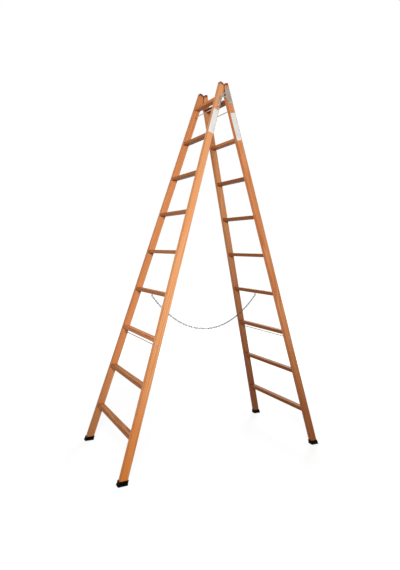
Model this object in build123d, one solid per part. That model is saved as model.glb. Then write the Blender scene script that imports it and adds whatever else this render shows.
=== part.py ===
"""Double-sided wooden rung ladder that stands by itself.

Two equal sections lean against each other at the top, where a steel hinge on each side joins them.
Each section has two splayed stiles, nine level rungs, two tie rods and two plastic feet.
A hanging chain of real, interlocked links joins the fourth rungs and keeps the feet together.

Frame: millimetres, +Z up, floor at Z = 0. X runs from the front section (-X) to the rear one (+X),
Y runs across the ladder, and the hinge axis is parallel to Y above the origin.
"""
from build123d import *
import os
from math import atan, cos, degrees, pi, radians, sin, sqrt

# Whole ladder
lean = radians(16.0)              # each section's lean from the vertical
rung_count = 9                    # rungs in a section, the top one between the hinges
rung_pitch = 280.0                # along the stile
axis_to_top_rung = 40.0           # hinge axis to the top rung's middle, along the stile
bottom_rung_to_floor = 245.0      # bottom rung's middle to the floor, along the stile
width_at_axis = 295.0             # over the stiles, at the hinge axis
width_at_floor = 638.0            # over the stiles, at the floor

# Stiles
stile_depth = 48.0                # across the climbing direction
stile_thickness = 25.0
stile_round = 2.5                 # rounding of the long edges
axis_to_stile = 10.5              # hinge axis to the inner edge of the stiles
head_rise = 84.0                  # stile end above the hinge axis, along the stile
head_inner_round = 20.0           # round on the head's inner corner
head_outer_round = 6.0            # round on the head's outer corner
head_gap = 0.3                    # between the two heads when the ladder stands open

# Rungs
rung_depth = 44.0                 # tread, level when the ladder stands open
rung_height = 24.0
rung_round = 4.0
tenon_depth = 28.0
tenon_height = 14.0
tenon_length = 18.0               # how far a rung reaches into a stile
joint_gap = 0.1                   # glue line around tenons, rods and screws

# Tie rods
rod_diameter = 6.0
upper_rod_below_rung = 68.0       # top rung's middle to the upper rod
lower_rod_rung = 3                # the lower rod lies under this rung, counted from the floor
lower_rod_below_rung = 32.0       # that rung's middle to the lower rod
spot_face_depth = 1.0             # flat seat for the washer in the splayed face
washer_diameter = 14.0
washer_thickness = 1.2
nut_across_flats = 10.0
nut_height = 5.0
rod_end = 1.5                     # rod beyond its nut

# Feet
foot_height = 34.0                # level upper rim above the floor
foot_wall = 4.0
foot_sole = 10.0                  # under the stile's end
foot_flare = 1.5                  # the sole's rim beyond the walls
foot_rim = 7.0                    # height of that rim
foot_round = 4.0

# Hinges: a strap on the front stile and a wider plate on the rear one, each with an ear round the pin
leaf_thickness = 3.0
leaf_inset = 2.5                  # stile's inner edge to the leaf
strap_width = 20.0
strap_end = 98.0                  # below the axis
plate_width = 42.0
plate_top = 50.0                  # above the axis
plate_end = 66.0                  # below the axis
plate_round = 7.0
ear_radius = 16.0
ear_bend = 20.0                   # below the axis, where the ear leaves the splayed leaf
joggle_length = 14.0              # step of the strap down to its stile
leaf_gap = 0.2                    # between the two ears
pin_diameter = 8.0
pin_gap = 0.08                    # running clearance
pin_head_gap = 0.15
pin_head_height = 3.0
pin_head_margin = 2.0             # pin head to the stiles' inner edges
screw_margin = 9.0                # leaf's edge to the middle of a screw
strap_screw_step = 17.0
plate_screw_below_axis = 8.0      # the plate's middle screw
screw_diameter = 4.5
screw_length = 16.0               # in the stile
screw_head_diameter = 10.0
screw_head_height = 3.0

# Chain and its eyes
chain_rung = 4                    # counted from the floor
wire = 2.5
link_pitch = 23.4                 # inner length of a link
link_width = 10.0                 # outer width of a link
link_gap = 0.3                    # between the wires of neighbouring links
chain_slack = 1.175               # chain length over the straight distance between the eyes
chain_lap = 5.0                   # the two halves' last links lie side by side over this length
groups_per_half = 3               # stiff pieces that each half of the chain swings in
eye_wire = wire                   # as thick as the chain's, because the first link turns on it
eye_radius = 6.5                  # of the ring's wire middle
eye_collar = 2.0                  # shank between the rung and the ring
eye_shank = 4.0                   # diameter
eye_depth = 16.0                  # shank inside the rung
wire_sides = 8
bow_steps = 4                     # straight steps in a link's half-round end
ring_steps = 16

# Places worked out from the sizes above
stile_middle = axis_to_stile + stile_depth / 2
floor_along = axis_to_top_rung + (rung_count - 1) * rung_pitch + bottom_rung_to_floor
axis_height = floor_along * cos(lean) - stile_middle * sin(lean)
splay = (width_at_floor - width_at_axis) / 2 / floor_along
splay_angle = atan(splay)
stile_across = stile_thickness / cos(splay_angle)
leaf_across = leaf_thickness / cos(splay_angle)
upper_rod_along = axis_to_top_rung + upper_rod_below_rung
leaf_near = axis_to_stile + leaf_inset
screw_bore = screw_diameter + 2 * joint_gap
chain_offset = link_width / 2 + link_gap      # each half of the chain from the middle of the ladder

# A section is drawn lying on the bench: x down the stiles from the hinge axis, y out to the climbing
# side and z across the ladder. SECTION stands that drawing up as the front section.
SECTION = Plane(origin=(0, 0, axis_height), x_dir=(-sin(lean), 0, -cos(lean)), z_dir=(0, 1, 0))
REACH = 2 * floor_along           # longer than anything it has to cut


def rung_along(number):
    """Place of a rung along the stile, counted from the floor."""
    return axis_to_top_rung + (rung_count - number) * rung_pitch


lower_rod_along = rung_along(lower_rod_rung) + lower_rod_below_rung


def outer_face(x):
    """Half the width over the stiles."""
    return width_at_axis / 2 + splay * x


def inner_face(x):
    """Half the width between the stiles."""
    return outer_face(x) - stile_across


def floor_line(y, height):
    """Bench x of the level that lies this high above the floor."""
    return (axis_height - height + y * sin(lean)) / cos(lean)


def across_prism(points, y_low, y_high):
    """Outline of x and z values, pulled along y."""
    outline = make_face(Polyline(*points, close=True))
    return extrude(Plane.XZ.offset(-y_low) * outline, amount=y_low - y_high)


def plank(x_low, x_high, grow):
    """A straight piece of the left stile, with its section grown on every side."""
    inside = [(x, inner_face(x) - grow) for x in (x_low, x_high)]
    outside = [(x, outer_face(x) + grow) for x in (x_high, x_low)]
    return across_prism(inside + outside, axis_to_stile - grow, axis_to_stile + stile_depth + grow)


def side_prism(points, rounds):
    """Outline of x and y values with rounded corners, pulled right across the ladder."""
    outline = make_face(Polyline(*points, close=True))
    for corner, radius in rounds:
        nearest = outline.vertices().sort_by_distance(Vector(*corner))[0]
        outline = fillet(nearest, radius)
    return extrude(outline, amount=REACH, both=True)


def round_long_edges(solid, radius):
    return fillet(solid.edges().sort_by(SortBy.LENGTH)[-4:], radius)


def tenon_outline(x, grow):
    outline = RectangleRounded(tenon_height + 2 * grow, tenon_depth + 2 * grow, tenon_height / 2.1)
    return Pos(x, stile_middle) * Rot(0, 0, -degrees(lean)) * outline


def between_stiles(grow):
    """The tapered bay between the stiles, reaching into them by grow."""
    top, bottom = -head_rise, floor_along
    left = [(x, inner_face(x) + grow) for x in (top, bottom)]
    right = [(x, -inner_face(x) - grow) for x in (bottom, top)]
    return across_prism(left + right, 0, axis_to_stile + 2 * stile_depth)


def rod_seat(x):
    """Bench z of the washer's seat on the left stile."""
    return outer_face(x) - spot_face_depth


def on_outer_face(x, y):
    """A plane on the left stile's outer face that looks outwards."""
    return Plane(origin=(x, y, outer_face(x)), x_dir=(1, 0, splay), z_dir=(-splay, 0, 1))


def strap_screws():
    """Screw places of the front leaf, in one row clear of the top rung's tenon."""
    last = strap_end - screw_margin
    y = leaf_near + strap_width / 2
    return [on_outer_face(last - step * strap_screw_step, y) for step in range(3)]


def plate_screws():
    """Screw places of the rear leaf, round the edge and clear of the top rung's tenon."""
    low, high = leaf_near + screw_margin, leaf_near + plate_width - screw_margin
    places = [(x, y) for x in (screw_margin - plate_top, plate_end - screw_margin) for y in (low, high)]
    places.append((plate_screw_below_axis, high))
    return [on_outer_face(x, y) for x, y in places]


def cylinder_on(plane, diameter, low, high):
    return extrude(plane.offset(low) * Circle(diameter / 2), amount=high - low)


def stile(screw_places):
    """Left stile of a section, with its mitred head, mortises, rod holes and screw holes."""
    far_side = axis_to_stile + stile_depth
    meeting = (head_gap / 2 - axis_to_stile * cos(lean)) / sin(lean)
    head_line = (head_gap / 2 + head_rise * sin(lean)) / cos(lean)
    head_inner = (-head_rise, head_line)
    head_outer = (-head_rise, far_side)
    foot_inner = (floor_line(axis_to_stile, foot_sole), axis_to_stile)
    foot_outer = (floor_line(far_side, foot_sole), far_side)
    outline = [(meeting, axis_to_stile), head_inner, head_outer, foot_outer, foot_inner]
    rounds = [(head_inner, head_inner_round), (head_outer, head_outer_round)]
    body = round_long_edges(plank(-2 * head_rise, floor_along + 2 * stile_depth, 0), stile_round)
    body = body & side_prism(outline, rounds)
    for number in range(1, rung_count + 1):
        x = rung_along(number)
        depth = inner_face(x) + tenon_length + joint_gap
        body -= extrude(tenon_outline(x, joint_gap), amount=depth)
    for x in (upper_rod_along, lower_rod_along):
        line = Plane(origin=(x, stile_middle, 0))
        body -= cylinder_on(line, rod_diameter + 2 * joint_gap, 0, REACH)
        body -= cylinder_on(line, washer_diameter + 2 * joint_gap, rod_seat(x), REACH)
    for place in screw_places:
        body -= cylinder_on(place, screw_bore, -screw_length - joint_gap, leaf_thickness)
    return body


def rung(number):
    """A level rung with a tenon on each end and shoulders that follow the splayed stiles."""
    x = rung_along(number)
    outline = RectangleRounded(rung_height, rung_depth, rung_round)
    tread = Pos(x, stile_middle) * Rot(0, 0, -degrees(lean)) * outline
    body = extrude(tread, amount=REACH, both=True) & between_stiles(-joint_gap)
    return body + extrude(tenon_outline(x, 0), amount=inner_face(x) + tenon_length, both=True)


def tie_rod(x):
    half = rod_seat(x) + washer_thickness + nut_height + rod_end
    return extrude(Pos(x, stile_middle) * Circle(rod_diameter / 2), amount=half, both=True)


def rod_fasteners(x):
    """Washer and nut on the left end of a tie rod."""
    line = Plane(origin=(x, stile_middle, rod_seat(x)))
    hole = Circle(rod_diameter / 2 + joint_gap)
    washer = extrude(line * (Circle(washer_diameter / 2) - hole), amount=washer_thickness)
    hexagon = RegularPolygon(nut_across_flats / 2, 6, major_radius=False)
    nut = extrude(line.offset(washer_thickness) * (hexagon - hole), amount=nut_height)
    return [washer, nut]


def above_level(height):
    """All of the bench drawing from the hinge axis down to this height above the floor."""
    low_y = axis_to_stile - stile_depth
    high_y = axis_to_stile + 2 * stile_depth
    low_corner = (floor_line(low_y, height), low_y)
    high_corner = (floor_line(high_y, height), high_y)
    return side_prism([(0, low_y), (0, high_y), high_corner, low_corner], [])


def lower_end(grow, radius):
    """The left stile from its middle down through the floor, grown on every side."""
    return round_long_edges(plank(floor_along / 2, floor_along + 2 * stile_depth, grow), radius)


def boot(grow, top):
    """A block round the stile's lower end, from the floor up to a level top."""
    return (lower_end(grow, foot_round) & above_level(0)) - above_level(top)


def foot():
    """Plastic cap over the left stile's lower end, level at the floor and at its rim."""
    cap = boot(foot_wall, foot_height) + boot(foot_wall + foot_flare, foot_rim)
    return cap - (lower_end(joint_gap, stile_round) & above_level(foot_sole))


def ear_face(layer):
    """Bench z of an ear's inner side. The front leaf's ear is the outer layer."""
    return outer_face(ear_bend) + layer * (leaf_across + leaf_gap)


def bent_sheet(inside, y_low, y_high):
    """Sheet of the leaves' thickness on a line of x and z values."""
    outside = [(x, z + leaf_across) for x, z in reversed(inside)]
    return across_prism(inside + outside, y_low, y_high)


def ear_outline(width):
    """Round ear with straight flanks that widen to a knee on the stile."""
    knee = Pos(ear_bend, leaf_near + width / 2) * Rectangle(width / 4, width)
    return make_hull((knee.edges() + Circle(ear_radius).edges()))


def bore_leaf(leaf, screw_places):
    """The leaf with its pin hole and screw holes."""
    leaf -= extrude(Circle(pin_diameter / 2 + pin_gap), amount=REACH)
    for place in screw_places:
        leaf -= cylinder_on(place, screw_bore, -leaf_thickness, 4 * leaf_thickness)
    return leaf


def strap_leaf():
    """Front leaf on the left stile: an ear square to the axis, stepped down to a strap."""
    foot_of_step = ear_bend + joggle_length
    inside = [(-2 * ear_radius, ear_face(1)), (ear_bend, ear_face(1))]
    inside += [(x, outer_face(x)) for x in (foot_of_step, strap_end)]
    length = strap_end - ear_bend
    strap = Pos(ear_bend + length / 2, leaf_near + strap_width / 2) * Rectangle(length, strap_width)
    strap = fillet(strap.vertices().group_by(Axis.X)[-1], strap_width / 3)
    sheet = bent_sheet(inside, -2 * ear_radius, leaf_near + strap_width)
    return bore_leaf(sheet & extrude(strap + ear_outline(strap_width), amount=REACH), strap_screws())


def plate_leaf():
    """Rear leaf on the left stile: a plate up to the head, with an ear square to the axis."""
    inside = [(-2 * ear_radius, ear_face(0)), (ear_bend, ear_face(0))]
    inside.append((plate_end, outer_face(plate_end)))
    ear = bent_sheet(inside, -2 * ear_radius, leaf_near + plate_width)
    ear = ear & extrude(ear_outline(strap_width), amount=REACH)
    length = plate_top + plate_end
    outline = Pos((plate_end - plate_top) / 2, leaf_near + plate_width / 2)
    outline = outline * RectangleRounded(length, plate_width, plate_round)
    splayed = [(x, outer_face(x)) for x in (-2 * plate_top, 2 * plate_end)]
    plate = bent_sheet(splayed, 0, 2 * stile_depth) & extrude(outline, amount=REACH)
    return bore_leaf(plate + ear, plate_screws())


def hinge_pin():
    """Riveted pin through both ears, with a flat head inside and a domed one outside."""
    inside = ear_face(0) - pin_head_gap
    outside = ear_face(1) + leaf_across + pin_head_gap
    head_radius = axis_to_stile - pin_head_margin
    shank = cylinder_on(Plane.XY, pin_diameter, inside, outside)
    flat_head = cylinder_on(Plane.XY, 2 * head_radius, inside - pin_head_height, inside)
    dome = cylinder_on(Plane.XY, 2 * head_radius, outside, outside + pin_head_height)
    dome = fillet(dome.edges().group_by(Axis.Z)[-1], 0.9 * pin_head_height)
    return shank + flat_head + dome


def hinge_screws(screw_places):
    """Round-headed screws of a leaf on the left stile."""
    screws = []
    for place in screw_places:
        top = leaf_thickness + screw_head_height
        head = cylinder_on(place, screw_head_diameter, leaf_thickness, top)
        rims = head.edges().filter_by(GeomType.CIRCLE).sort_by_distance(place.offset(top).origin)
        head = fillet(rims[0], 0.8 * screw_head_height)
        screws.append(head + cylinder_on(place, screw_diameter, -screw_length, leaf_thickness))
    return screws


def wire_loop(points, thickness):
    """Closed loop of faceted wire, mitred at the corners of a flat convex path."""
    count = len(points)
    normals = []
    for here, after in zip(points, points[1:] + points[:1]):
        along = (after - here).normalized()
        normals.append(Vector(along.Y, -along.X))
    rings = []
    for number in range(count):
        before, after = normals[number - 1], normals[number]
        mitre = (before + after) / (1 + before.dot(after))
        ring = []
        for side in range(wire_sides):
            turn = 2 * pi * (side + 0.5) / wire_sides
            outwards = mitre * (thickness / 2 * cos(turn))
            ring.append(points[number] + outwards + Vector(0, 0, thickness / 2 * sin(turn)))
        rings.append(ring)
    faces = []
    for ring, following in zip(rings, rings[1:] + rings[:1]):
        for side in range(wire_sides):
            other = (side + 1) % wire_sides
            corners = [ring[side], ring[other], following[other], following[side]]
            faces.append(Face(Wire.make_polygon(corners)))
    return Solid(Shell(faces))


def chain_link():
    """Link along x, lying flat in the xy plane, centred on the origin."""
    bow_radius = (link_width - wire) / 2
    bow_middle = (link_pitch + wire) / 2 - bow_radius
    points = []
    for end in (1, -1):
        for step in range(bow_steps + 1):
            turn = pi * (step / bow_steps - 0.5)
            along = bow_middle + bow_radius * cos(turn)
            points.append(Vector(end * along, end * bow_radius * sin(turn)))
    return wire_loop(points, wire)


def eye_place():
    """Where the front section's chain leaves its rung's underside."""
    middle = SECTION.from_local_coords((rung_along(chain_rung), stile_middle, chain_offset))
    return middle - Vector(0, 0, rung_height / 2)


def chain_eye():
    """Screw eye under the front section's chain rung; its ring is square to X."""
    seat = eye_place()
    ring_middle = seat - Vector(0, 0, eye_collar + eye_wire / 2 + eye_radius)
    turns = [2 * pi * step / ring_steps for step in range(ring_steps)]
    circle = [Vector(eye_radius * cos(turn), eye_radius * sin(turn)) for turn in turns]
    ring = Plane(origin=ring_middle, x_dir=(0, 0, 1), z_dir=(1, 0, 0)) * wire_loop(circle, eye_wire)
    return ring + cylinder_on(Plane(origin=seat), eye_shank, -eye_collar - eye_wire / 2, eye_depth)


def half_chain():
    """Links of the front half from the eye to the middle, as (start, end) of each bar between pivots.

    Every second link lies across the swing, and the chain turns about the wire at that link's ends.
    Bar n from the middle hangs at the slope (n - 1/2) / tension, as in any chain of equal links.
    """
    start = eye_place() - Vector(0, 0, eye_collar + eye_wire / 2 + 2 * eye_radius)
    flat_bar = link_pitch - wire - 2 * link_gap
    cross_bar = link_pitch + wire
    span = chain_lap / 2 - start.X
    pairs = round(chain_slack * span / (flat_bar + cross_bar))
    lengths = [cross_bar if number % 2 else flat_bar for number in range(1, 2 * pairs + 1)]

    def reach(tension):
        slopes = [(number + 0.5) / tension for number in range(2 * pairs)]
        return sum(length / sqrt(1 + slope ** 2) for length, slope in zip(lengths, slopes))

    slack, tight = 0.01, 1e6
    for _ in range(100):
        tension = sqrt(slack * tight)
        if reach(tension) < span:
            slack = tension
        else:
            tight = tension
    bars = []
    for number in range(2 * pairs, 0, -1):
        slope = atan((number - 0.5) / tension)
        end = start + Vector(cos(slope), 0, -sin(slope)) * lengths[number - 1]
        bars.append((start, end))
        start = end
    return bars


def place_link(start, end, crosswise):
    along = end - start
    across = Vector(0, 1, 0)
    facing = along.cross(across) if crosswise else across
    return Plane(origin=(start + end) / 2, x_dir=along, z_dir=facing) * chain_link()


def chain_groups():
    """The front half's links, shared out over its pieces from the eye to the middle."""
    bars = half_chain()
    links = [place_link(start, end, number % 2 == 1) for number, (start, end) in enumerate(bars)]
    pairs = len(links) // 2
    groups = []
    for number in range(groups_per_half):
        size = pairs // groups_per_half + (number < pairs % groups_per_half)
        groups.append([links.pop(0) for _ in range(2 * size)])
    return groups


def to_right(shape):
    return mirror(shape, about=Plane.XY)


def to_rear(shape):
    return mirror(shape, about=Plane.YZ)


def half_turn(shape):
    """From the front section to the rear one and to the other side of the ladder's middle."""
    return Rot(0, 0, 180) * shape


def as_group(solids):
    return Compound(children=list(solids))


parts = {}


def add_front_pair(name, shape):
    """A left piece of the bench drawing and its mirror image, on the front section."""
    parts[f"front_{name}_left"] = SECTION * shape
    parts[f"front_{name}_right"] = SECTION * to_right(shape)


def add_rear_pair(name, shape):
    """A left piece of the bench drawing and its mirror image, on the rear section."""
    parts[f"rear_{name}_left"] = to_rear(SECTION * shape)
    parts[f"rear_{name}_right"] = to_rear(SECTION * to_right(shape))


def add_crosspiece(name, shape):
    """A piece of the bench drawing that spans both stiles, on both sections."""
    parts[f"front_{name}"] = SECTION * shape
    parts[f"rear_{name}"] = to_rear(SECTION * shape)


def on_both_sides(solids):
    """Small left pieces of the bench drawing and their mirror images, stood up as the front section's."""
    return [SECTION * solid for solid in solids] + [SECTION * to_right(solid) for solid in solids]


add_front_pair("stile", stile(strap_screws()))
add_rear_pair("stile", stile(plate_screws()))
add_front_pair("foot", foot())
add_rear_pair("foot", foot())
for rung_number in range(1, rung_count + 1):
    add_crosspiece(f"rung_{rung_number}", rung(rung_number))
add_crosspiece("tie_rod_upper", tie_rod(upper_rod_along))
add_crosspiece("tie_rod_lower", tie_rod(lower_rod_along))
nuts = on_both_sides(rod_fasteners(upper_rod_along) + rod_fasteners(lower_rod_along))
parts["front_tie_rod_nuts"] = as_group(nuts)
parts["rear_tie_rod_nuts"] = as_group([to_rear(nut) for nut in nuts])
add_front_pair("hinge_leaf", strap_leaf())
add_rear_pair("hinge_leaf", plate_leaf())
parts["front_hinge_screws"] = as_group(on_both_sides(hinge_screws(strap_screws())))
rear_screws = on_both_sides(hinge_screws(plate_screws()))
parts["rear_hinge_screws"] = as_group([to_rear(screw) for screw in rear_screws])
parts["hinge_pin_left"] = SECTION * hinge_pin()
parts["hinge_pin_right"] = SECTION * to_right(hinge_pin())

eye_line = Plane(origin=eye_place())
eye_bore = cylinder_on(eye_line, eye_shank + 2 * joint_gap, -rung_height, eye_depth + joint_gap)
bored_rung = parts[f"front_rung_{chain_rung}"] - eye_bore
parts[f"front_rung_{chain_rung}"] = bored_rung
parts[f"rear_rung_{chain_rung}"] = half_turn(bored_rung)
parts["front_chain_eye"] = chain_eye()
parts["rear_chain_eye"] = half_turn(chain_eye())
for group_number, group in enumerate(chain_groups(), start=1):
    parts[f"front_chain_{group_number}"] = as_group(group)
    parts[f"rear_chain_{group_number}"] = as_group([half_turn(link) for link in group])

os.makedirs("parts", exist_ok=True)
for node, shape in parts.items():
    export_step(shape, f"parts/{node}.step")
print(f"{len(parts)} nodes, hinge axis at {axis_height:.1f} mm")
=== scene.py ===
# %% [markdown]
# A double-sided wooden rung ladder, dressed for its photograph.
# The solids of the ladder come packed from the CAD model. They already have the right shape and place, so
# this file gives them wood, steel and plastic. It makes anew only what looks better as a fine mesh or is
# a little different in the photograph: the chain's links, the screw eyes, the hinges' screws, the caps of
# the feet and two white stickers.

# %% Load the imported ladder
import math
import random

import bmesh
import bpy
from mathutils import Matrix, Vector


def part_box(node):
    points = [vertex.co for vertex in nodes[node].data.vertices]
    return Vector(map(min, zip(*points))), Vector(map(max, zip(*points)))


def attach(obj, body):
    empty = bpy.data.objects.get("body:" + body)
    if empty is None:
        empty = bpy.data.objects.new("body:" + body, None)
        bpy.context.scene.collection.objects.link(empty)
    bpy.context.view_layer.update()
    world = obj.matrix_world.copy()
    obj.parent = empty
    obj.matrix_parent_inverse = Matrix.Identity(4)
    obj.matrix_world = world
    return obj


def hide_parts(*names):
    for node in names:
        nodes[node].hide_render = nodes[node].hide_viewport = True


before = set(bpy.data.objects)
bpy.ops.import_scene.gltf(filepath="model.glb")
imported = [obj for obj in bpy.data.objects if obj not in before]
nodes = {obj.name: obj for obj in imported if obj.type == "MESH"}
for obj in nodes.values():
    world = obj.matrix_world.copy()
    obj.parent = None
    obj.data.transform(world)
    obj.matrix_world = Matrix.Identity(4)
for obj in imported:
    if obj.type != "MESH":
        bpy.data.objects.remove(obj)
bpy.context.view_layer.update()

scene = bpy.context.scene


# %% [markdown]
# The sizes that the new pieces need are those of the CAD model, here in metres. Both sections lean by the
# same angle from the hinge axis. A place on a section is given as on the maker's bench: how far down the
# stile from the axis, how far out to the climbing side, and on which side of the ladder.

# %% Sizes and places on the ladder
LEAN = math.radians(16.0)
STILE_DEPTH, STILE_THICKNESS = 0.048, 0.025
AXIS_TO_STILE = 0.0105
STILE_MIDDLE = AXIS_TO_STILE + STILE_DEPTH / 2
FLOOR_ALONG = 2.525  # from the axis to the floor, along the middle of a stile
AXIS_HEIGHT = FLOOR_ALONG * math.cos(LEAN) - STILE_MIDDLE * math.sin(LEAN)
HALF_WIDTH_AT_AXIS, HALF_WIDTH_AT_FLOOR = 0.1475, 0.319
SPLAY = (HALF_WIDTH_AT_FLOOR - HALF_WIDTH_AT_AXIS) / FLOOR_ALONG
ALONG_SPLAY = math.hypot(1, SPLAY)
STILE_ACROSS = STILE_THICKNESS * ALONG_SPLAY
FRONT, REAR = -1, 1
LEFT, RIGHT = 1, -1
SECTIONS = {"front": FRONT, "rear": REAR}
SIDES = {"left": LEFT, "right": RIGHT}


def on_section(section, along, out, across):
    """A bench place as a point of the standing ladder."""
    x = section * (along * math.sin(LEAN) + out * math.cos(LEAN))
    z = AXIS_HEIGHT - along * math.cos(LEAN) + out * math.sin(LEAN)
    return Vector((x, across, z))


def on_outer_face(section, side, along, out):
    """A point on a stile's outer face."""
    return on_section(section, along, out, side * (HALF_WIDTH_AT_AXIS + SPLAY * along))


def stile_axes(section, side):
    """Down the stile, out to the climbing side, and outwards from the stile's outer face."""
    down = Vector((section * math.sin(LEAN), side * SPLAY, -math.cos(LEAN))).normalized()
    out = Vector((section * math.cos(LEAN), 0, math.sin(LEAN)))
    outward = down.cross(out)
    return down, out, outward if outward.y * side > 0 else -outward


print("the near front stile meets the floor near", on_outer_face(FRONT, RIGHT, FLOOR_ALONG, STILE_MIDDLE))

# %% [markdown]
# The camera stands where the photograph was taken from. Its place, turn and focal length were fitted to
# the ladder's heads, feet and rungs, in pixels of a frame of 400 by 570. The shift is there because the
# lens looked past the middle of the frame.

# %% Camera
FRAME_WIDE, FRAME_HIGH = 400, 570
CAMERA_AT = Vector((-1.674886, -2.526195, 1.298359))
CAMERA_YAW, CAMERA_RISE, CAMERA_ROLL = (math.radians(angle) for angle in (25.328, 3.006, 2.087))
FOCAL_PIXELS = 418.714
AXIS_PIXEL = (148.105, 231.246)

ahead = Vector((
    math.sin(CAMERA_YAW) * math.cos(CAMERA_RISE),
    math.cos(CAMERA_YAW) * math.cos(CAMERA_RISE),
    math.sin(CAMERA_RISE),
))
level = ahead.cross(Vector((0, 0, 1))).normalized()
upright = level.cross(ahead)
right = level * math.cos(CAMERA_ROLL) + upright * math.sin(CAMERA_ROLL)
up = upright * math.cos(CAMERA_ROLL) - level * math.sin(CAMERA_ROLL)

lens = bpy.data.cameras.new("camera")
lens.sensor_fit = "AUTO"
lens.sensor_width = 36.0
lens.lens = FOCAL_PIXELS / FRAME_HIGH * lens.sensor_width
lens.shift_x = (FRAME_WIDE / 2 - AXIS_PIXEL[0]) / FRAME_HIGH
lens.shift_y = -(FRAME_HIGH / 2 - AXIS_PIXEL[1]) / FRAME_HIGH
lens.clip_start, lens.clip_end = 0.05, 100.0
camera = bpy.data.objects.new("camera", lens)
camera.matrix_world = Matrix((right, up, -ahead)).transposed().to_4x4()
camera.location = CAMERA_AT
scene.collection.objects.link(camera)
scene.camera = camera
print("camera with a lens of", round(lens.lens, 2), "mm at", tuple(CAMERA_AT))

# %% [markdown]
# Small helpers for node trees keep the later cells short. A colour is written as it looks on a screen, as
# a code of six digits, and turned into the plain light values that the shader works with.

# %% Helpers for node trees
MIX_SHARE, MIX_FIRST, MIX_SECOND, MIX_RESULT = 0, 6, 7, 2


def colour(code):
    """A screen colour such as d98040 as light values."""
    values = []
    for place in (0, 2, 4):
        part = int(code[place:place + 2], 16) / 255
        values.append(part / 12.92 if part <= 0.04045 else ((part + 0.055) / 1.055) ** 2.4)
    return (*values, 1.0)


def feed(tree, socket, value):
    """Links an output to a socket, or sets a plain value on it."""
    if isinstance(value, bpy.types.NodeSocket):
        tree.links.new(value, socket)
    else:
        socket.default_value = value


def put(tree, kind, inputs=None, **settings):
    """Adds a node with its settings and feeds its inputs."""
    made = tree.nodes.new(kind)
    for name, value in settings.items():
        setattr(made, name, value)
    for socket, value in (inputs or {}).items():
        feed(tree, made.inputs[socket], value)
    return made


def reckon(tree, operation, *values):
    """One sum of the Math node."""
    made = tree.nodes.new("ShaderNodeMath")
    made.operation = operation
    for place, value in enumerate(values):
        feed(tree, made.inputs[place], value)
    return made.outputs[0]


def between(tree, value, low, high, to_low=0.0, to_high=1.0):
    """Brings a value from one range into another, softly at both ends."""
    made = put(tree, "ShaderNodeMapRange", interpolation_type="SMOOTHSTEP")
    for place, part in enumerate((value, low, high, to_low, to_high)):
        feed(tree, made.inputs[place], part)
    return made.outputs[0]


def blend_colours(tree, share, first, second, kind="MIX"):
    """Mixes two colours; a Mix node keeps its colour sockets behind those for numbers and vectors."""
    inputs = {MIX_SHARE: share, MIX_FIRST: first, MIX_SECOND: second}
    return put(tree, "ShaderNodeMix", inputs, data_type="RGBA", blend_type=kind).outputs[MIX_RESULT]


def noise(tree, vector, scale, detail=2.0, roughness=0.5):
    """Soft random values about one half; the scale is in waves for each metre."""
    inputs = {"Vector": vector, "Scale": scale, "Detail": detail, "Roughness": roughness}
    return put(tree, "ShaderNodeTexNoise", inputs).outputs["Fac"]


def effect(name, inputs, outputs):
    """An empty shader node group with named sockets, and its two ends."""
    tree = bpy.data.node_groups.new(name, "ShaderNodeTree")
    for title, value in inputs.items():
        kind = "NodeSocketVector" if value is None else "NodeSocketFloat"
        socket = tree.interface.new_socket(title, in_out="INPUT", socket_type=kind)
        if value is not None:
            socket.default_value = value
    for title in outputs:
        tree.interface.new_socket(title, in_out="OUTPUT", socket_type="NodeSocketFloat")
    return tree, tree.nodes.new("NodeGroupInput").outputs, tree.nodes.new("NodeGroupOutput").inputs


def use(tree, group, **inputs):
    """Places an effect in a material with its own values."""
    made = tree.nodes.new("ShaderNodeGroup")
    made.node_tree = group
    for title, value in inputs.items():
        feed(tree, made.inputs[title.replace("_", " ")], value)
    return made.outputs


def finish_of(name):
    """A new material: its tree, its Principled shader and the object's own coordinates."""
    material = bpy.data.materials.new(name)
    material.use_nodes = True
    tree = material.node_tree
    shader = tree.nodes["Principled BSDF"]
    place = tree.nodes.new("ShaderNodeTexCoord").outputs["Object"]
    return material, tree, shader, place


def bump(tree, shader, height, depth, strength):
    """Raises the shader's skin by a height from 0 to 1 times a depth in metres."""
    made = put(tree, "ShaderNodeBump", {"Height": height, "Distance": depth, "Strength": strength})
    tree.links.new(made.outputs["Normal"], shader.inputs["Normal"])


print("a wood tone such as d98040 is", tuple(round(v, 3) for v in colour("d98040")))

# %% [markdown]
# The stiles and rungs are straight-grained wood under a clear, warm varnish. An image of wood could be
# stretched over them, but it would repeat on 22 pieces and end badly at the cut ends. Here the grain is
# cut from a log instead: growth rings lie round a heart that is off to one side of each piece, and the
# piece's own x runs along the grain. Every face, also the end grain on the heads, then shows its proper
# cut.

# %% Effect: straight grain cut from a log
SLOW_ALONG = 0.09  # changes along the grain, against those across it
SWAY, SWAY_SCALE = 0.05, 9.0  # how far the rings wander
HEART_Y, HEART_Z = 0.05, 0.11  # from the log's heart to the piece's middle
DARKENS_FROM, DARKEST, YEAR_ENDS = 0.1, 0.85, 0.9
FIBRES_ALONG, BROAD_SCALE = 14.0, 22.0
RING_SHARE, FIBRE_SHARE, BROAD_SHARE, TONE_LESS = 0.38, 0.34, 0.5, 0.1
RING_HEIGHT = 0.4
grain, given, result = effect(
    "straight_grain",
    {"Vector": None, "Ring Spacing": 0.005, "Fibre Scale": 700.0},
    ("Tone", "Fibre", "Height"),
)
parts = put(grain, "ShaderNodeSeparateXYZ", {"Vector": given["Vector"]}).outputs
slow_x = reckon(grain, "MULTIPLY", parts["X"], SLOW_ALONG)
slow = put(grain, "ShaderNodeCombineXYZ", {"X": slow_x, "Y": parts["Y"], "Z": parts["Z"]}).outputs[0]
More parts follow.
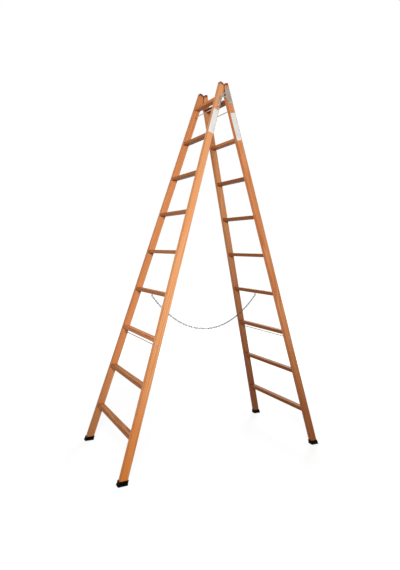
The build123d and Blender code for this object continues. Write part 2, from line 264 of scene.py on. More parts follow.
sway = reckon(grain, "MULTIPLY_ADD", noise(grain, slow, SWAY_SCALE), SWAY, -SWAY / 2)
heart = put(grain, "ShaderNodeCombineXYZ", {
    "Y": reckon(grain, "ADD", parts["Y"], HEART_Y),
    "Z": reckon(grain, "ADD", parts["Z"], HEART_Z),
}).outputs[0]
radius = put(grain, "ShaderNodeVectorMath", {0: heart}, operation="LENGTH").outputs["Value"]
years = reckon(grain, "DIVIDE", reckon(grain, "ADD", radius, sway), given["Ring Spacing"])
year = reckon(grain, "FRACT", years)
darkening = between(grain, year, DARKENS_FROM, DARKEST)
late_wood = reckon(grain, "SUBTRACT", darkening, between(grain, year, YEAR_ENDS, 1.0))
fine_x = reckon(grain, "MULTIPLY", parts["X"], FIBRES_ALONG)
fine_y = reckon(grain, "MULTIPLY", parts["Y"], given["Fibre Scale"])
fine_z = reckon(grain, "MULTIPLY", parts["Z"], given["Fibre Scale"])
fine = put(grain, "ShaderNodeCombineXYZ", {"X": fine_x, "Y": fine_y, "Z": fine_z}).outputs[0]
fibre = noise(grain, fine, scale=1.0, detail=3.0, roughness=0.6)
broad = noise(grain, slow, BROAD_SCALE, detail=1.0)
tone = reckon(grain, "MULTIPLY_ADD", late_wood, RING_SHARE, reckon(grain, "MULTIPLY", fibre, FIBRE_SHARE))
tone = reckon(grain, "MULTIPLY_ADD", broad, BROAD_SHARE, tone)
feed(grain, result["Tone"], reckon(grain, "SUBTRACT", tone, TONE_LESS))
feed(grain, result["Fibre"], fibre)
feed(grain, result["Height"], reckon(grain, "MULTIPLY_ADD", late_wood, RING_HEIGHT, fibre))
print("grain group with", len(grain.nodes), "nodes")

# %% [markdown]
# Along the rounded edges the varnish is thinner and hands have darkened it, and the same mask paints the
# shade that falls on the rounded edges. The mask needs no mesh edges: in a board's own frame, a point of
# the skin is near an edge where it is near two faces at once, so the larger of its two depths below the
# faces is its distance from the edge.

# %% Effect: handled edges with painted shade
RAGGED_REACH = 1.6  # the ragged mask ends at this many reaches
edges, given, result = effect(
    "handled_and_shaded_edges",
    {"Vector": None, "Half Depth": 0.02, "Half Height": 0.012, "Reach": 0.004},
    ("Mask",),
)
parts = put(edges, "ShaderNodeSeparateXYZ", {"Vector": given["Vector"]}).outputs
below_y = reckon(edges, "SUBTRACT", given["Half Depth"], reckon(edges, "ABSOLUTE", parts["Y"]))
below_z = reckon(edges, "SUBTRACT", given["Half Height"], reckon(edges, "ABSOLUTE", parts["Z"]))
distance = reckon(edges, "MAXIMUM", below_y, below_z)
uneven = noise(edges, given["Vector"], scale=60.0, detail=3.0)
ragged = reckon(edges, "MULTIPLY_ADD", uneven, given["Reach"], distance)
mask_ends = reckon(edges, "MULTIPLY", given["Reach"], RAGGED_REACH)
feed(edges, result["Mask"], between(edges, ragged, mask_ends, 0.0))
print("edge group with", len(edges.nodes), "nodes")

# %% [markdown]
# Varnish runs into the corners where a rung meets a stile, and dust stays there; the same mask also paints
# the shade that falls into these corners. The material itself knows how far a point is from such a joint;
# the effect only turns that distance into a ragged, fading mask, so that stiles and rungs share it.

# %% Effect: dark corners at the joints, dirt and painted shade
corners, given, result = effect("joint_dirt_and_shade", {"Vector": None, "Distance": 0.1, "Reach": 0.008}, ("Mask",))
uneven = noise(corners, given["Vector"], scale=110.0, detail=3.0, roughness=0.6)
ragged = reckon(corners, "MULTIPLY_ADD", uneven, given["Reach"], given["Distance"])
feed(corners, result["Mask"], between(corners, ragged, given["Reach"], 0.0))
print("corner group with", len(corners.nodes), "nodes")

# %% [markdown]
# Shoes rub the varnish of the treads: pale and dull in the middle of each rung, and hardly at all near
# the stiles. The mask takes the rung's own frame, with z upwards, and breaks its edge up with streaks
# along the rung.

# %% Effect: rubbed treads
UNRUBBED_BELOW, RUBBED_BELOW = 0.006, 0.001
UNRUBBED_FROM_MIDDLE, RUBBED_FROM_MIDDLE = 1.0, 0.35
STREAK_ALONG = 0.25
rubbed, given, result = effect(
    "rubbed_tread",
    {"Vector": None, "Half Height": 0.012, "Half Length": 0.2},
    ("Mask",),
)
parts = put(rubbed, "ShaderNodeSeparateXYZ", {"Vector": given["Vector"]}).outputs
under_top = reckon(rubbed, "SUBTRACT", given["Half Height"], parts["Z"])
near_top = between(rubbed, under_top, UNRUBBED_BELOW, RUBBED_BELOW)
from_middle = reckon(rubbed, "DIVIDE", reckon(rubbed, "ABSOLUTE", parts["X"]), given["Half Length"])
long_x = reckon(rubbed, "MULTIPLY", parts["X"], STREAK_ALONG)
streaked = put(rubbed, "ShaderNodeCombineXYZ", {"X": long_x, "Y": parts["Y"], "Z": parts["Z"]}).outputs[0]
streaks = noise(rubbed, streaked, scale=75.0, detail=4.0, roughness=0.65)
patchy = between(rubbed, streaks, low=0.3, high=0.62)
in_middle = between(rubbed, from_middle, UNRUBBED_FROM_MIDDLE, RUBBED_FROM_MIDDLE)
trodden = reckon(rubbed, "MULTIPLY", in_middle, patchy)
feed(rubbed, result["Mask"], reckon(rubbed, "MULTIPLY", near_top, trodden))
print("tread group with", len(rubbed.nodes), "nodes")

# %% [markdown]
# Two functions make the finish of every piece of wood. A Mapping node turns the object's coordinates into
# the piece's own frame, and a step along the log gives each piece its own part of the grain, because no
# two are cut alike. The varnish is a satin one: it darkens the wood a little at handled edges and in the
# corners, where the same masks also paint shade, and shines half dull.

# %% Varnished wood
WOOD_TONES = {
    "honey": ("f4b382", "eca268", "d6864a"),
    "amber": ("eea46c", "e08f56", "c4723c"),
    "painted_light_tread": ("e09a5e", "cc8046", "a86232"),
    "tread": ("d08a50", "b87038", "8c4c22"),
    "painted_shade_tread": ("b06e3e", "9a582a", "763e1a"),
}
TONE_PLACES = (0.18, 0.5, 0.88)
EDGE_WEAR_AND_SHADE_TINT, CORNER_DIRT_AND_SHADE_TINT, RUBBED_COLOUR = "96694a", "a07050", "c8935a"
RUBBED_SHARE, RUBBED_DULLNESS = 0.35, 0.15
COAT, COAT_ROUGHNESS = 0.04, 0.25


def own_frame(tree, place, middle, axes):
    """Object coordinates as seen from a piece's middle, with x along its grain."""
    turn = Matrix(axes).transposed().to_euler()
    inputs = {"Vector": place, "Location": middle, "Rotation": turn}
    return put(tree, "ShaderNodeMapping", inputs, vector_type="TEXTURE").outputs[0]


def varnish(tree, shader, own, tones, gloss, half_depth, half_height, log_step, joint,
            more_dark=(), rub=None):
    """Grain, handled edges and dirty corners, both with painted shade, other dark places from end grain and
    painted shade, and rubbed places on a Principled shader.
    """
    step = put(tree, "ShaderNodeVectorMath", {0: own, 1: log_step}, operation="ADD").outputs[0]
    cut = use(tree, grain, Vector=step)
    # the edge mask paints shade on the rounded edges as well as their handled varnish
    edge = use(tree, edges, Vector=own, Half_Depth=half_depth, Half_Height=half_height)["Mask"]
    # the corner mask paints the shade in the joints as well as their varnish and dust
    corner_dirt_and_shade = use(tree, corners, Vector=own, Distance=joint)["Mask"]
    ramp = put(tree, "ShaderNodeValToRGB", {"Fac": cut["Tone"]})
    ramp.color_ramp.elements.new(TONE_PLACES[1])
    for element, at, code in zip(ramp.color_ramp.elements, TONE_PLACES, WOOD_TONES[tones]):
        element.position, element.color = at, colour(code)
    shade = ramp.outputs["Color"]
    if rub is not None:
        shade = blend_colours(tree, reckon(tree, "MULTIPLY", rub, RUBBED_SHARE), shade, colour(RUBBED_COLOUR))
    for mask, tint in ((edge, EDGE_WEAR_AND_SHADE_TINT), (corner_dirt_and_shade, CORNER_DIRT_AND_SHADE_TINT), *more_dark):
        shade = blend_colours(tree, mask, shade, blend_colours(tree, 1.0, shade, colour(tint), "MULTIPLY"))
    tree.links.new(shade, shader.inputs["Base Color"])
    dull = between(tree, cut["Fibre"], low=0.2, high=0.8, to_low=0.4, to_high=0.54)
    if rub is not None:
        dull = reckon(tree, "MULTIPLY_ADD", rub, RUBBED_DULLNESS, dull)
    tree.links.new(dull, shader.inputs["Roughness"])
    shader.inputs["Specular IOR Level"].default_value = gloss
    shader.inputs["Coat Weight"].default_value = COAT
    shader.inputs["Coat Roughness"].default_value = COAT_ROUGHNESS
    bump(tree, shader, cut["Height"], depth=0.0004, strength=0.4)


def dress(node, material):
    """Puts a finish on a CAD solid."""
    node.data.materials.clear()
    node.data.materials.append(material)


print(len(WOOD_TONES), "tones of varnished wood:", ", ".join(WOOD_TONES))

# %% [markdown]
# A stile's own x runs down from the hinge axis. The rungs lie level, so on the leaning stile their places
# are found on a sheared x, and PINGPONG turns it into the distance from the nearest rung's middle, on the
# inner face alone. The end grain on the heads has drunk more varnish and is darker. The line where a front
# and a rear head meet, at x = 0 of the ladder, is darkened too, as painted shade in the gap between them.
# Towards the floor each stile darkens as painted shade, where the light fades: from a height of its own
# and to its own tint, as the photograph shows it, and on the rear ones most of all; the rear left stile is
# shaded along its whole length.

# %% Wooden stiles
RUNG_DEPTH, RUNG_HEIGHT = 0.044, 0.024
TOP_RUNG, RUNG_PITCH, RUNG_COUNT = 0.040, 0.280, 9
SECTION_STEP, SIDE_STEP = Vector((0.7, 0.0, 0.013)), Vector((0.4, 0.011, 0.0))
HEAD_TOP, HEAD_BELOW = -0.080, -0.058
SEAM_SHADE_EDGE, SEAM_SHADE_CORE = 0.0055, 0.0015
END_GRAIN_TINT, SEAM_SHADE_TINT = "846250", "765442"
PAINTED_SHADE_RAGGED = 0.3
STILE_GLOSS = 0.2
STILE_LOOKS = {  # tones of the wood, painted shade towards the floor from and full at, and the shade's tint
    "front_stile_right": ("honey", 1.8, 2.85, "eec878"),
    "front_stile_left": ("amber", 2.1, 2.85, "d0d0c8"),
    "rear_stile_right": ("amber", 1.6, 2.7, "b89c6c"),
    "rear_stile_left": ("honey", 0.0, 2.9, "987963"),
}
for section_name, section in SECTIONS.items():
    for side_name, side in SIDES.items():
        name = f"{section_name}_stile_{side_name}"
        middle = on_section(section, 0, STILE_MIDDLE, side * (HALF_WIDTH_AT_AXIS - STILE_ACROSS / 2))
        down, out, outward = stile_axes(section, side)
        third = down.cross(out)
        material, tree, shader, place = finish_of(name)
        own = own_frame(tree, place, middle, (down, out, third))
        parts = put(tree, "ShaderNodeSeparateXYZ", {"Vector": own}).outputs
        sheared = reckon(tree, "MULTIPLY_ADD", parts["Y"], -math.tan(LEAN), parts["X"])
        from_top = reckon(tree, "SUBTRACT", sheared, TOP_RUNG * ALONG_SPLAY)
        from_rung = reckon(tree, "PINGPONG", from_top, RUNG_PITCH * ALONG_SPLAY / 2)
        inner = -1.0 if third.dot(outward) > 0 else 1.0
        from_inner = reckon(tree, "MULTIPLY_ADD", parts["Z"], -inner, STILE_THICKNESS / 2)
        joint = reckon(tree, "MAXIMUM", reckon(tree, "SUBTRACT", from_rung, RUNG_HEIGHT / 2), from_inner)
        log_step = SECTION_STEP * section + SIDE_STEP * side
        end_grain = between(tree, parts["X"], HEAD_BELOW, HEAD_TOP)
        # painted shade along the line where a front and a rear head meet, in the gap between them
        on_ladder = put(tree, "ShaderNodeSeparateXYZ", {"Vector": place}).outputs
        from_seam = reckon(tree, "ABSOLUTE", on_ladder["X"])
        seam_shade = between(tree, from_seam, SEAM_SHADE_EDGE, SEAM_SHADE_CORE)
        # painted shade: each stile darkens down its length, where the light fades, from and to its values in
        # STILE_LOOKS
        uneven = noise(tree, own, scale=6.0, detail=3.0)
        ragged = reckon(tree, "MULTIPLY_ADD", uneven, PAINTED_SHADE_RAGGED, parts["X"])
        tones, painted_shade_from, painted_shade_full, painted_shade_tint = STILE_LOOKS[name]
        painted_shade = between(tree, ragged, painted_shade_from, painted_shade_full)
        varnish(tree, shader, own, tones, STILE_GLOSS, STILE_DEPTH / 2, STILE_THICKNESS / 2, log_step, joint,
                more_dark=((end_grain, END_GRAIN_TINT), (seam_shade, SEAM_SHADE_TINT), (painted_shade, painted_shade_tint)))
        dress(nodes[name], material)
print(len(STILE_LOOKS), "stiles varnished")

# %% [markdown]
# A rung's own x runs across the ladder and its z upwards. Its joints are the shoulders at the two ends.
# Rungs are darker and duller than stiles, because they are trodden on. The rear rungs are darker again,
# as painted shade, and three rungs get paler tones as painted light.

# %% Wooden rungs
ALONG_RUNG = (Vector((0, 1, 0)), Vector((-1, 0, 0)), Vector((0, 0, 1)))
TENON_LENGTH = 0.018
STEP_ALONG, STEP_OUT, OUT_LESS, STEP_UP = 0.9, 0.007, 0.01, 0.009
RUNG_GLOSS = 0.08
# the rear rungs' darker tone is painted shade
RUNG_TONES = {"front": "tread", "rear": "painted_shade_tread"}
# the paler tones of these three rungs are painted light
PAINTED_LIGHT_RUNGS = {"front_rung_9": "amber", "front_rung_3": "amber", "rear_rung_8": "painted_light_tread"}
for section_name, section in SECTIONS.items():
    for number in range(1, RUNG_COUNT + 1):
        name = f"{section_name}_rung_{number}"
        low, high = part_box(name)
        half_length = (high.y - low.y) / 2 - TENON_LENGTH
        material, tree, shader, place = finish_of(name)
        own = own_frame(tree, place, (low + high) / 2, ALONG_RUNG)
        across = put(tree, "ShaderNodeSeparateXYZ", {"Vector": own}).outputs["X"]
        joint = reckon(tree, "SUBTRACT", half_length, reckon(tree, "ABSOLUTE", across))
        rub = use(tree, rubbed, Vector=own, Half_Height=RUNG_HEIGHT / 2, Half_Length=half_length)["Mask"]
        step_out = STEP_OUT * (number % 3) - OUT_LESS
        log_step = Vector((STEP_ALONG * number, step_out, STEP_UP * (number % 4) * section))
        tones = PAINTED_LIGHT_RUNGS.get(name, RUNG_TONES[section_name])
        varnish(tree, shader, own, tones, RUNG_GLOSS, RUNG_DEPTH / 2, RUNG_HEIGHT / 2, log_step, joint,
                rub=rub)
        dress(nodes[name], material)
print(2 * RUNG_COUNT, "rungs varnished")

# %% [markdown]
# The rods, hinges and chain are zinc-plated steel: grey, half dull, with faint crystals of zinc and
# darker stains. A plain metal of one roughness looks like chrome, so the crystals and stains change its
# tone and its gloss a little. The chain, which rubs, has lost most of its zinc and is darker. The hinge
# pins are darker still, as painted shade in the gap between the leaves.

# %% Effect: zinc skin
SPECKS_IN_CRYSTAL, CRYSTAL_HEIGHT = 6.0, 0.2
CRYSTAL_TONE, STAIN_TONE, BASE_TONE = 0.3, -0.45, 0.7
CRYSTAL_DULLNESS, STAIN_DULLNESS, BASE_DULLNESS = 0.1, 0.18, 0.36
zinc, given, result = effect(
    "zinc_skin",
    {"Vector": None, "Crystal Scale": 260.0, "Stain Scale": 35.0},
    ("Tone", "Roughness", "Height"),
)
crystals = put(zinc, "ShaderNodeTexVoronoi", {"Vector": given["Vector"], "Scale": given["Crystal Scale"]})
crystal = put(zinc, "ShaderNodeSeparateColor", {"Color": crystals.outputs["Color"]}).outputs[0]
smears = noise(zinc, given["Vector"], given["Stain Scale"], detail=4.0, roughness=0.6)
stain = between(zinc, smears, low=0.42, high=0.68)
speck = noise(zinc, given["Vector"], reckon(zinc, "MULTIPLY", given["Crystal Scale"], SPECKS_IN_CRYSTAL))
stained = reckon(zinc, "MULTIPLY_ADD", stain, STAIN_TONE, BASE_TONE)
feed(zinc, result["Tone"], reckon(zinc, "MULTIPLY_ADD", crystal, CRYSTAL_TONE, stained))
dullness = reckon(zinc, "MULTIPLY_ADD", crystal, CRYSTAL_DULLNESS, BASE_DULLNESS)
feed(zinc, result["Roughness"], reckon(zinc, "MULTIPLY_ADD", stain, STAIN_DULLNESS, dullness))
feed(zinc, result["Height"], reckon(zinc, "MULTIPLY_ADD", crystal, CRYSTAL_HEIGHT, speck))
print("zinc group with", len(zinc.nodes), "nodes")

# %% [markdown]
# One function makes a plated steel from its darkest and its palest tone. The crystals and stains are as
# many in a metre as suit the size of the piece.

# %% Zinc-plated steel


def plated_steel(name, dark, pale, crystal_scale, stain_scale):
    """A metal whose tone and gloss follow the zinc skin."""
    material, tree, shader, place = finish_of(name)
    skin = use(tree, zinc, Vector=place, Crystal_Scale=crystal_scale, Stain_Scale=stain_scale)
    shade = blend_colours(tree, skin["Tone"], colour(dark), colour(pale))
    tree.links.new(shade, shader.inputs["Base Color"])
    tree.links.new(skin["Roughness"], shader.inputs["Roughness"])
    shader.inputs["Metallic"].default_value = 1.0
    bump(tree, shader, skin["Height"], depth=0.00015, strength=0.3)
    return material


rod_steel = plated_steel("rod_steel", "8f887f", "bab2a8", 320.0, 30.0)
hinge_steel = plated_steel("hinge_steel", "887c72", "b8a99c", 180.0, 24.0)
# the pins' dark steel is painted shade in the gap between the hinge leaves
shaded_pin_steel = plated_steel("shaded_pin_steel", "433b34", "6a5f55", 260.0, 40.0)
chain_steel = plated_steel("chain_steel", "383b3e", "6a6d70", 420.0, 60.0)
for name, node in nodes.items():
    if "tie_rod" in name:
        dress(node, rod_steel)
    elif "hinge_pin" in name:
        dress(node, shaded_pin_steel)
    elif "hinge" in name:
        dress(node, hinge_steel)
    elif "chain" in name:
        dress(node, chain_steel)
print("steel on the rods, hinges and chain")

# %% [markdown]
# The feet are caps of black moulded plastic. The mould leaves a fine grain, and the floor scuffs the
# lowest rim to grey. Height above the floor drives the scuffs, so that no painting is needed.

# %% Black feet
SCUFFED_BELOW, MOST_SCUFFED_BELOW = 0.010, 0.001
SCUFFS_ALL_OVER, SCUFFS_ON_RIM = 0.12, 0.5
foot_plastic, tree, shader, place = finish_of("foot_plastic")
height = put(tree, "ShaderNodeSeparateXYZ", {"Vector": place}).outputs["Z"]
mould = noise(tree, place, scale=1400.0, roughness=0.7)
smear = noise(tree, place, scale=90.0, detail=4.0, roughness=0.65)
low_rim = between(tree, height, SCUFFED_BELOW, MOST_SCUFFED_BELOW)
most = reckon(tree, "MULTIPLY_ADD", low_rim, SCUFFS_ON_RIM, SCUFFS_ALL_OVER)
scuff = reckon(tree, "MULTIPLY", between(tree, smear, low=0.42, high=0.78), most)
shade = blend_colours(tree, scuff, colour("040404"), colour("302e2c"))
tree.links.new(shade, shader.inputs["Base Color"])
dull = between(tree, smear, low=0.2, high=0.8, to_low=0.45, to_high=0.65)
tree.links.new(dull, shader.inputs["Roughness"])
shader.inputs["Specular IOR Level"].default_value = 0.03
bump(tree, shader, mould, depth=0.0003, strength=0.5)
print("foot plastic with", len(tree.nodes), "nodes")

# %% [markdown]
# In the photograph the caps reach about 25 mm up the stiles, and the solids' rims are 9 mm higher. A copy
# of each solid is cut level at the seen height and closed again with a ring of faces between its outer
# and its inner edge.

# %% Lower rims on the feet
SEEN_RIM, SAME_POINT = 0.025, 1e-6
for section_name in SECTIONS:
    for side_name in SIDES:
        name = f"{section_name}_foot_{side_name}"
        cap = bmesh.new()
        cap.from_mesh(nodes[name].data)
        bmesh.ops.remove_doubles(cap, verts=cap.verts, dist=SAME_POINT)
        cut = bmesh.ops.bisect_plane(
            cap, geom=[*cap.verts, *cap.edges, *cap.faces],
            plane_co=(0, 0, SEEN_RIM), plane_no=(0, 0, 1), clear_outer=True,
        )
        rim = [part for part in cut["geom_cut"] if isinstance(part, bmesh.types.BMEdge)]
        bmesh.ops.triangle_fill(cap, edges=rim, use_beauty=True)
        bmesh.ops.recalc_face_normals(cap, faces=cap.faces)
        open_edges = sum(not edge.is_manifold for edge in cap.edges)
        mesh = bpy.data.meshes.new(f"{name}_cap")
        cap.to_mesh(mesh)
        cap.free()
        mesh.materials.append(foot_plastic)
        piece = bpy.data.objects.new(f"{name}_cap", mesh)
        scene.collection.objects.link(piece)
        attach(piece, section_name)
        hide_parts(name)
        print(piece.name, "has", len(mesh.polygons), "faces and", open_edges, "open edges")

# %% [markdown]
# What repeats on the ladder is made by Geometry Nodes: one link, one eye or one screw is built in the
# tree from named sizes and set on points, each with its own turn. The points come from the same rule as
# in the CAD model. Afterwards the result becomes a plain mesh, because the export keeps neither modifiers
# nor instances.

# %% Helpers for Geometry Nodes
FIRST_WHOLE, SECOND_WHOLE = 2, 3  # a Compare node keeps its whole numbers behind those with a point


def recipe(name, **sizes):
    """A Geometry Nodes tree with named sizes and a finish, and its two ends."""
    tree = bpy.data.node_groups.new(name, "GeometryNodeTree")
    tree.interface.new_socket("Geometry", in_out="INPUT", socket_type="NodeSocketGeometry")
    for title, value in sizes.items():
        words = title.replace("_", " ")
        socket = tree.interface.new_socket(words, in_out="INPUT", socket_type="NodeSocketFloat")
        socket.default_value = value
    tree.interface.new_socket("Finish", in_out="INPUT", socket_type="NodeSocketMaterial")
    tree.interface.new_socket("Geometry", in_out="OUTPUT", socket_type="NodeSocketGeometry")
    return tree, tree.nodes.new("NodeGroupInput").outputs, tree.nodes.new("NodeGroupOutput").inputs


def set_on_points(tree, given, result, *shapes):
    """Sets on every point the shape of its kind, turned by the point's own attribute, and ends the tree."""
    turn = put(tree, "GeometryNodeInputNamedAttribute", {"Name": "turn"}, data_type="FLOAT_VECTOR").outputs[0]
    turned = put(tree, "FunctionNodeEulerToRotation", {0: turn}).outputs[0]
    kind = put(tree, "GeometryNodeInputNamedAttribute", {"Name": "kind"}, data_type="INT").outputs[0]
    placed = put(tree, "GeometryNodeJoinGeometry")
    for number, shape in enumerate(shapes):
        pair = {FIRST_WHOLE: kind, SECOND_WHOLE: number}
        chosen = put(tree, "FunctionNodeCompare", pair, data_type="INT", operation="EQUAL").outputs[0]
        set_there = put(tree, "GeometryNodeInstanceOnPoints", {
            "Points": given["Geometry"], "Selection": chosen, "Instance": shape, "Rotation": turned,
        }).outputs[0]
        tree.links.new(set_there, placed.inputs[0])
    real = put(tree, "GeometryNodeRealizeInstances", {0: placed.outputs[0]}).outputs[0]
    smooth = put(tree, "GeometryNodeSetShadeSmooth", {0: real}).outputs[0]
    finished = put(tree, "GeometryNodeSetMaterial", {"Geometry": smooth, "Material": given["Finish"]})
    tree.links.new(finished.outputs[0], result[0])


def make(name, tree, places, material, body, slot, replaced, **sizes):
    """Runs a recipe on (point, turn, kind) places and leaves a plain mesh that rides on its body."""
    points = bpy.data.meshes.new(name)
    points.from_pydata([point for point, turn, kind in places], [], [])
    turns = points.attributes.new("turn", "FLOAT_VECTOR", "POINT")
    turns.data.foreach_set("vector", [angle for point, turn, kind in places for angle in turn])
    kinds = points.attributes.new("kind", "INT", "POINT")
    kinds.data.foreach_set("value", [kind for point, turn, kind in places])
    piece = bpy.data.objects.new(name, points)
    modifier = piece.modifiers.new(name, "NODES")
    modifier.node_group = tree
    for item in tree.interface.items_tree:
        if item.in_out == "INPUT" and item.name in sizes:
            modifier[item.identifier] = sizes[item.name]
        if item.in_out == "INPUT" and item.name == "Finish":
            modifier[item.identifier] = material
    scene.collection.objects.link(piece)
    shown = piece.evaluated_get(bpy.context.evaluated_depsgraph_get())
    mesh = bpy.data.meshes.new_from_object(shown)
    piece.modifiers.remove(modifier)
    piece.data = mesh
    mesh.name = name
    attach(piece, body)
    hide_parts(replaced)
    print(name, "has", len(places), "pieces and", len(mesh.polygons), "faces")


print("recipes run on points, each with its turn and its kind")

# %% [markdown]
# The chain is of long welded links in round steel wire, and every second link lies across the swing. A
# link could be a bent tube from bmesh code. In a tree it is a circle whose halves are drawn apart, swept
# by the wire, with the weld as a slight swelling in the middle of one side. The links must be where the
# solids are, so their places follow the CAD model's rule: bar n from the middle hangs at a slope of n less
# a half, over the chain's tension. In the photograph the chain looks heavier than the solids, so the wire
# here is 3.4 mm thick and not 2.5 mm. The pivots stay where they are: the crosswise links keep their
# length, and the links in the swing grow by the added wire at both ends. The two halves of the chain hang
# side by side when the ladder is closed, so the links may hardly grow in width.

# %% Recipe: chain link
WIRE, LINK_INSIDE, LINK_WIDTH, LINK_GAP = 0.0025, 0.0234, 0.010, 0.0003
SEEN_WIRE, SEEN_WIDTH = 0.0034, 0.0104
FLAT_BAR = LINK_INSIDE - WIRE - 2 * LINK_GAP
CROSS_BAR = LINK_INSIDE + WIRE
FLAT, CROSS = 0, 1
RING_STEPS, LINK_STEPS, WIRE_STEPS = 32, 44, 10
WELD_ENDS, WELD_FULL = 0.0035, 0.0005  # from the middle of the link's side
link_tree, given, result = recipe(
    "chain_link", Wire=SEEN_WIRE, Flat_Length=FLAT_BAR + 2 * (SEEN_WIRE + LINK_GAP), Cross_Length=CROSS_BAR,
    Width=SEEN_WIDTH - SEEN_WIRE, Weld=0.12,
)


def bent_link(length):
    """A link from the length and width between its wire's middles."""
    bow = reckon(link_tree, "MULTIPLY", given["Width"], 0.5)
    apart = reckon(link_tree, "SUBTRACT", reckon(link_tree, "MULTIPLY", length, 0.5), bow)
    path = {"Resolution": RING_STEPS, "Radius": bow}
    ring = put(link_tree, "GeometryNodeCurvePrimitiveCircle", path).outputs[0]
    place = put(link_tree, "GeometryNodeInputPosition").outputs[0]
    where = put(link_tree, "ShaderNodeSeparateXYZ", {0: place}).outputs
    drawn = reckon(link_tree, "MULTIPLY", reckon(link_tree, "SIGN", where["X"]), apart)
    offset = put(link_tree, "ShaderNodeCombineXYZ", {"X": drawn}).outputs[0]
    ring = put(link_tree, "GeometryNodeSetPosition", {"Geometry": ring, "Offset": offset}).outputs[0]
    ring = put(link_tree, "GeometryNodeResampleCurve", {"Curve": ring, "Count": LINK_STEPS}).outputs[0]
    on_side = reckon(link_tree, "GREATER_THAN", where["Y"], 0.0)
    near_weld = between(link_tree, reckon(link_tree, "ABSOLUTE", where["X"]), WELD_ENDS, WELD_FULL)
    swell = reckon(link_tree, "MULTIPLY", reckon(link_tree, "MULTIPLY", near_weld, on_side), given["Weld"])
    thick = reckon(link_tree, "ADD", swell, 1.0)
    ring = put(link_tree, "GeometryNodeSetCurveRadius", {"Curve": ring, "Radius": thick}).outputs[0]
    half_wire = reckon(link_tree, "MULTIPLY", given["Wire"], 0.5)
    profile = {"Resolution": WIRE_STEPS, "Radius": half_wire}
    round_wire = put(link_tree, "GeometryNodeCurvePrimitiveCircle", profile).outputs[0]
    swelling = put(link_tree, "GeometryNodeInputRadius").outputs[0]
    sweep = {"Curve": ring, "Profile Curve": round_wire, "Scale": swelling}
    return put(link_tree, "GeometryNodeCurveToMesh", sweep).outputs[0]


set_on_points(link_tree, given, result, bent_link(given["Flat Length"]), bent_link(given["Cross Length"]))
print("link recipe with", len(link_tree.nodes), "nodes")

# %% [markdown]
# The tension that lets the half chain span from its eye to the middle is found by trying: the range in
# which it lies is halved again and again. Then the links are hung one after the other and shared out over
# the three groups that swing on the CAD model's joints. The rear half is the front one turned half round.

# %% Chain
SEARCH_STEPS = 100
CHAIN_LAP, PAIRS, PAIRS_IN_GROUP = 0.005, 11, (4, 4, 3)
CHAIN_OFFSET = LINK_WIDTH / 2 + LINK_GAP
CHAIN_RUNG = 4
EYE_RADIUS, EYE_COLLAR = 0.0065, 0.002
eye_along = TOP_RUNG + (RUNG_COUNT - CHAIN_RUNG) * RUNG_PITCH
hangs_below = RUNG_HEIGHT / 2 + EYE_COLLAR + WIRE / 2 + 2 * EYE_RADIUS
rung_middle = on_section(FRONT, eye_along, STILE_MIDDLE, CHAIN_OFFSET)
CHAIN_START = rung_middle - Vector((0, 0, hangs_below))
bar_lengths = [CROSS_BAR if number % 2 else FLAT_BAR for number in range(1, 2 * PAIRS + 1)]


def reach(tension):
    """How far the half chain spans when it hangs with this tension."""
    return sum(bar / math.hypot(1, (n + 0.5) / tension) for n, bar in enumerate(bar_lengths))


slack, tight = 0.01, 1e6
for _ in range(SEARCH_STEPS):
    tension = math.sqrt(slack * tight)
    if reach(tension) < CHAIN_LAP / 2 - CHAIN_START.x:
        slack = tension
    else:
        tight = tension

hanging, start = [], CHAIN_START
for number in range(2 * PAIRS, 0, -1):
    slope = math.atan((number - 0.5) / tension)
    end = start + Vector((math.cos(slope), 0, -math.sin(slope))) * bar_lengths[number - 1]
    tilt, kind = (0.0, CROSS) if number % 2 else (math.pi / 2, FLAT)
    hanging.append(((start + end) / 2, (tilt, slope, 0.0), kind))
    start = end

for section_name in SECTIONS:
    first = 0
    for group, pairs in enumerate(PAIRS_IN_GROUP, start=1):
        links = hanging[first:first + 2 * pairs]
        first += 2 * pairs
        if section_name == "rear":
            links = [(Vector((-p.x, -p.y, p.z)), (t[0], t[1], math.pi), kind) for p, t, kind in links]
        name = f"{section_name}_chain_{group}"
        make(f"{name}_links", link_tree, links, chain_steel, name, "chain_steel", name)

# %% [markdown]
# Under the fourth rung of each section a screw eye holds the chain. Its shank and ring are one bent wire
# on the real ladder. The recipe sweeps the ring and lets the shank, a little thicker, run up out of it
# into the rung.

# %% Recipe: screw eye
EYE_SHANK, EYE_DEPTH = 0.004, 0.016
EYE_RING_STEPS, EYE_WIRE_STEPS, EYE_SHANK_STEPS = 40, 12, 16
eye_tree, given, result = recipe(
    "screw_eye", Wire=WIRE, Ring_Radius=EYE_RADIUS, Shank=EYE_SHANK,
    Shank_Length=EYE_COLLAR + WIRE / 2 + EYE_DEPTH,
)
path = {"Resolution": EYE_RING_STEPS, "Radius": given["Ring Radius"]}
ring = put(eye_tree, "GeometryNodeCurvePrimitiveCircle", path).outputs[0]
profile = {"Resolution": EYE_WIRE_STEPS, "Radius": reckon(eye_tree, "MULTIPLY", given["Wire"], 0.5)}
round_wire = put(eye_tree, "GeometryNodeCurvePrimitiveCircle", profile).outputs[0]
swept = put(eye_tree, "GeometryNodeCurveToMesh", {"Curve": ring, "Profile Curve": round_wire}).outputs[0]
half_shank = reckon(eye_tree, "MULTIPLY", given["Shank"], 0.5)
stem = put(eye_tree, "GeometryNodeMeshCone", {
    "Vertices": EYE_SHANK_STEPS, "Radius Top": half_shank, "Radius Bottom": half_shank,
    "Depth": given["Shank Length"],
}).outputs["Mesh"]
lift = put(eye_tree, "ShaderNodeCombineXYZ", {"Y": given["Ring Radius"]}).outputs[0]
stem = put(eye_tree, "GeometryNodeTransform", {
    "Geometry": stem, "Translation": lift, "Rotation": (-math.pi / 2, 0.0, 0.0),
}).outputs[0]
